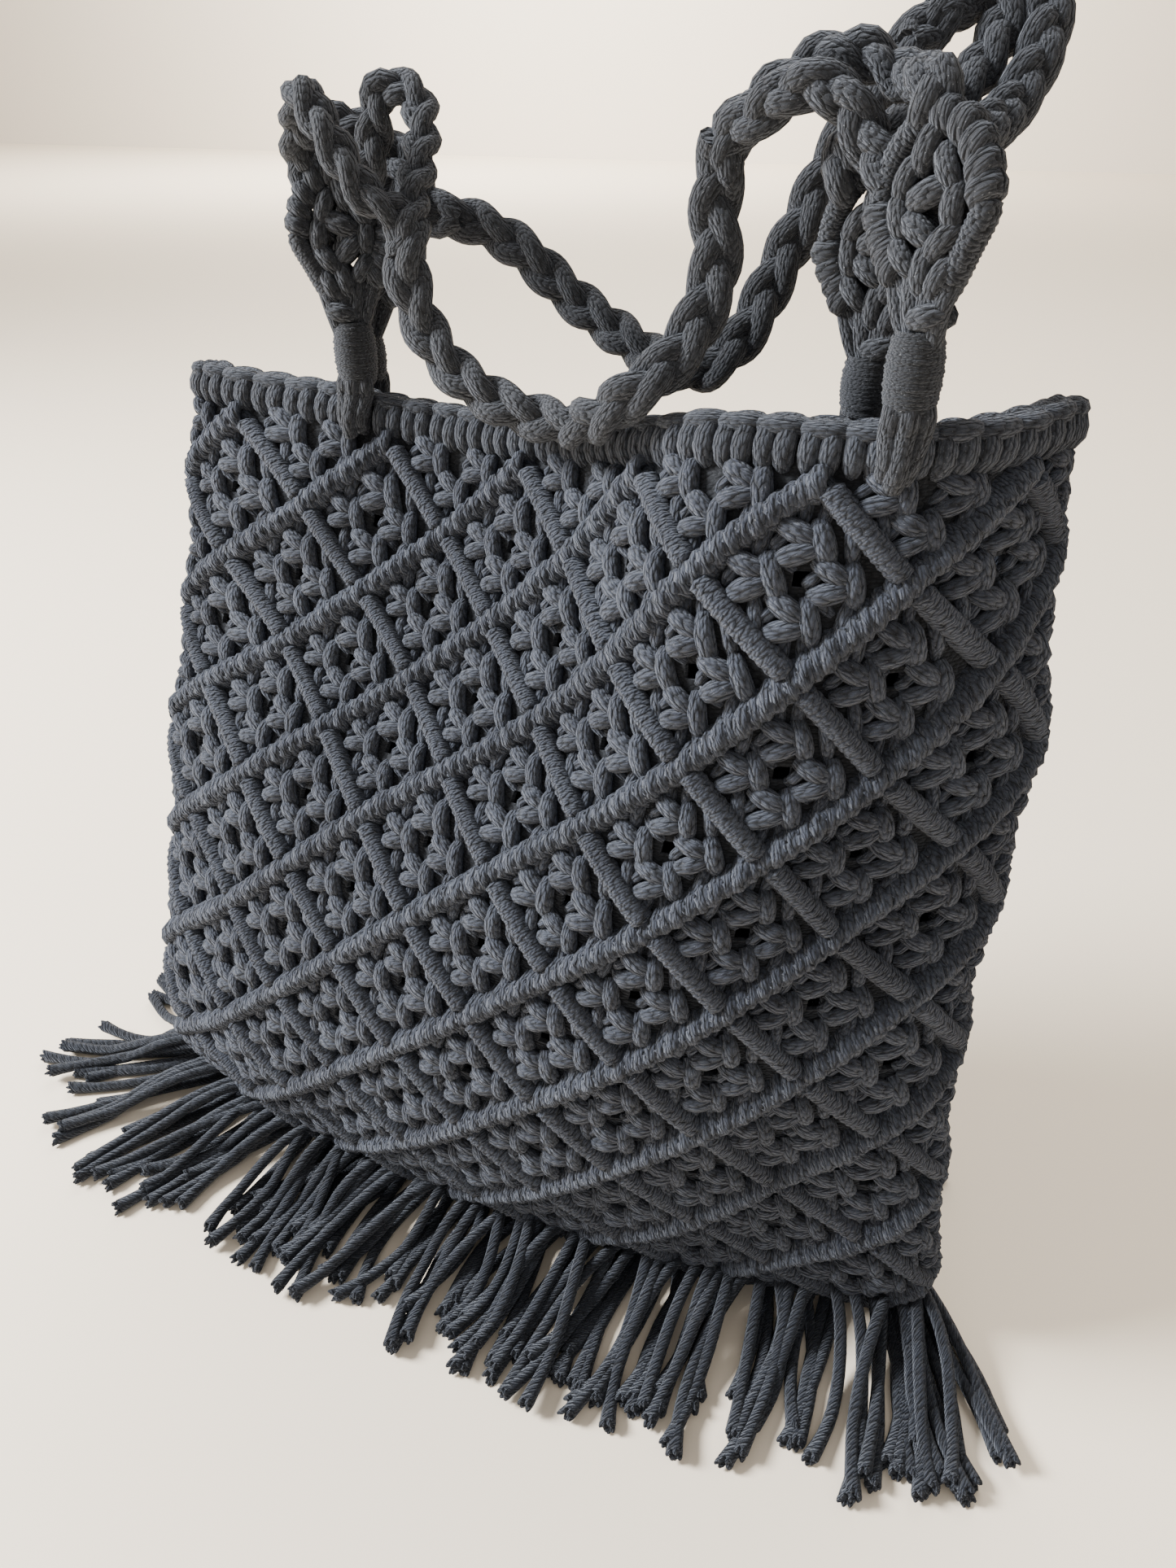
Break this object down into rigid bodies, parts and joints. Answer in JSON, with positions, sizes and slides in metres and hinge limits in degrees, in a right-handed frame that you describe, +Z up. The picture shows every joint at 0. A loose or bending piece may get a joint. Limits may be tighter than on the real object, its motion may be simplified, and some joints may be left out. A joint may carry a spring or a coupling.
{
  "type": "macrame tote bag",
  "caption": "Soft hollow tote of knotted dark cord, worked in open diamonds, with knotted oval handle roots, plaited forked straps and a cut cord fringe round its base.",
  "frame": {"origin": "middle of the bag's footprint, fringe included, on the table", "axes": "+Z up, -Y out of the front face, +X to the right seen from the front"},
  "size_m": [0.4584, 0.208, 0.4274],
  "materials": {
    "body_cord": "matte braided cotton cord, charcoal",
    "handle_cord": "matte braided cotton cord, charcoal, plaited and wound",
    "fringe_cord": "matte twisted cotton cord, navy black, cut ends"
  },
  "bodies": {
    "root": {"panel_front": "body_cord", "panel_back": "body_cord", "rim_row_front": "body_cord", "rim_row_back": "body_cord", "wrap_front_left": "handle_cord", "wrap_front_right": "handle_cord", "wrap_back_left": "handle_cord", "wrap_back_right": "handle_cord", "leaf_front_left": "handle_cord", "leaf_front_right": "handle_cord", "leaf_back_left": "handle_cord", "leaf_back_right": "handle_cord", "strap_front": "handle_cord", "strap_back": "handle_cord", "fringe_front": "fringe_cord", "fringe_back": "fringe_cord"}
  },
  "joints": []
}
